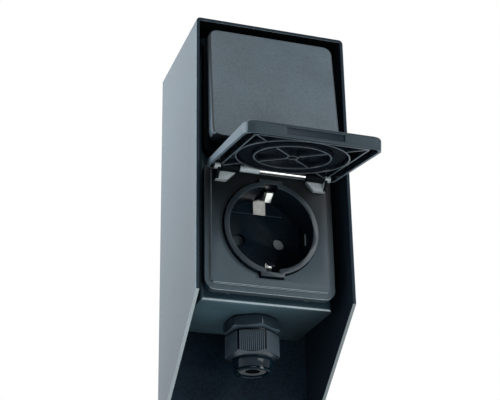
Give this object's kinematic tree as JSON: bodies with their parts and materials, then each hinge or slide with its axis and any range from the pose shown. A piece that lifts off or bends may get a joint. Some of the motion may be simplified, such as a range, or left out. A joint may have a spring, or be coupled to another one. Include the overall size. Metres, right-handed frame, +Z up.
{
  "type": "outdoor double socket",
  "caption": "Outdoor wall socket pair with earthed round wells and hinged lids on a folded box, under a sheet hood with a cable gland below.",
  "frame": {"origin": "midway between the two wall screw holes, in the wall's plane", "axes": "+Z up, +Y into the wall, +X to the right seen from the front"},
  "size_m": [0.072, 0.1115, 0.181],
  "materials": {
    "coated_sheet": "fine textured powder coat",
    "box_sheet": "fine textured powder coat",
    "zinc_steel": "zinc plated",
    "pin_steel": "bright",
    "plated_brass": "nickel plated",
    "soft_seal": "matt",
    "grey_rubber": "matt",
    "socket_plastic": "satin",
    "lid_plastic": "satin",
    "well_plastic": "semi gloss",
    "light_plastic": "satin",
    "gland_plastic": "semi gloss",
    "brown_insulation": "semi gloss",
    "blue_insulation": "semi gloss",
    "green_insulation": "semi gloss"
  },
  "bodies": {
    "housing": {"hood": "coated_sheet", "back_plate": "coated_sheet", "hood_rivets": "zinc_steel", "inner_box": "box_sheet", "box_seal": "soft_seal", "box_posts": "zinc_steel", "box_screws": "zinc_steel", "upper_flat_seal": "soft_seal", "upper_frame": "socket_plastic", "upper_insert": "well_plastic", "upper_base": "well_plastic", "upper_contact_cover": "well_plastic", "upper_earth_bracket": "plated_brass", "upper_live_contact": "plated_brass", "upper_neutral_contact": "plated_brass", "upper_terminal_screws": "zinc_steel", "upper_fixing_screws": "zinc_steel", "upper_shutter_spring": "pin_steel", "upper_hinge_pin": "pin_steel", "upper_hinge_bush": "light_plastic", "upper_left_bearing": "light_plastic", "upper_right_bearing": "light_plastic", "lower_flat_seal": "soft_seal", "lower_frame": "socket_plastic", "lower_insert": "well_plastic", "lower_base": "well_plastic", "lower_contact_cover": "well_plastic", "lower_earth_bracket": "plated_brass", "lower_live_contact": "plated_brass", "lower_neutral_contact": "plated_brass", "lower_terminal_screws": "zinc_steel", "lower_fixing_screws": "zinc_steel", "lower_shutter_spring": "pin_steel", "lower_hinge_pin": "pin_steel", "lower_hinge_bush": "light_plastic", "lower_left_bearing": "light_plastic", "lower_right_bearing": "light_plastic", "live_wire": "brown_insulation", "neutral_wire": "blue_insulation", "earth_wire": "green_insulation", "gland_body": "gland_plastic", "gland_ring_seal": "soft_seal", "gland_locknut": "gland_plastic", "gland_cap_nut": "gland_plastic", "gland_seal": "grey_rubber"},
    "upper_lid_body": {"upper_lid": "lid_plastic", "upper_lid_seal": "soft_seal"},
    "lower_lid_body": {"lower_lid": "lid_plastic", "lower_lid_seal": "soft_seal"},
    "upper_shutter_body": {"upper_shutter": "light_plastic"},
    "lower_shutter_body": {"lower_shutter": "light_plastic"}
  },
  "joints": [
    {"name": "upper_lid_hinge", "type": "hinge", "parent": "housing", "child": "upper_lid_body", "pos_m": [0, -0.0582, 0.0809], "axis": [-1, 0, 0], "range_deg": [-7, 92]},
    {"name": "lower_lid_hinge", "type": "hinge", "parent": "housing", "child": "lower_lid_body", "pos_m": [0, -0.0582, 0.0175], "axis": [-1, 0, 0], "range_deg": [-84, 15]},
    {"name": "upper_shutter_turn", "type": "hinge", "parent": "housing", "child": "upper_shutter_body", "pos_m": [0, -0.0345, 0.0555], "axis": [0, -1, 0], "range_deg": [0, 45], "stiffness_Nm_per_rad": 0.004, "springref_deg": -17.19},
    {"name": "lower_shutter_turn", "type": "hinge", "parent": "housing", "child": "lower_shutter_body", "pos_m": [0, -0.0345, -0.0079], "axis": [0, -1, 0], "range_deg": [0, 45], "stiffness_Nm_per_rad": 0.004, "springref_deg": -17.19}
  ]
}
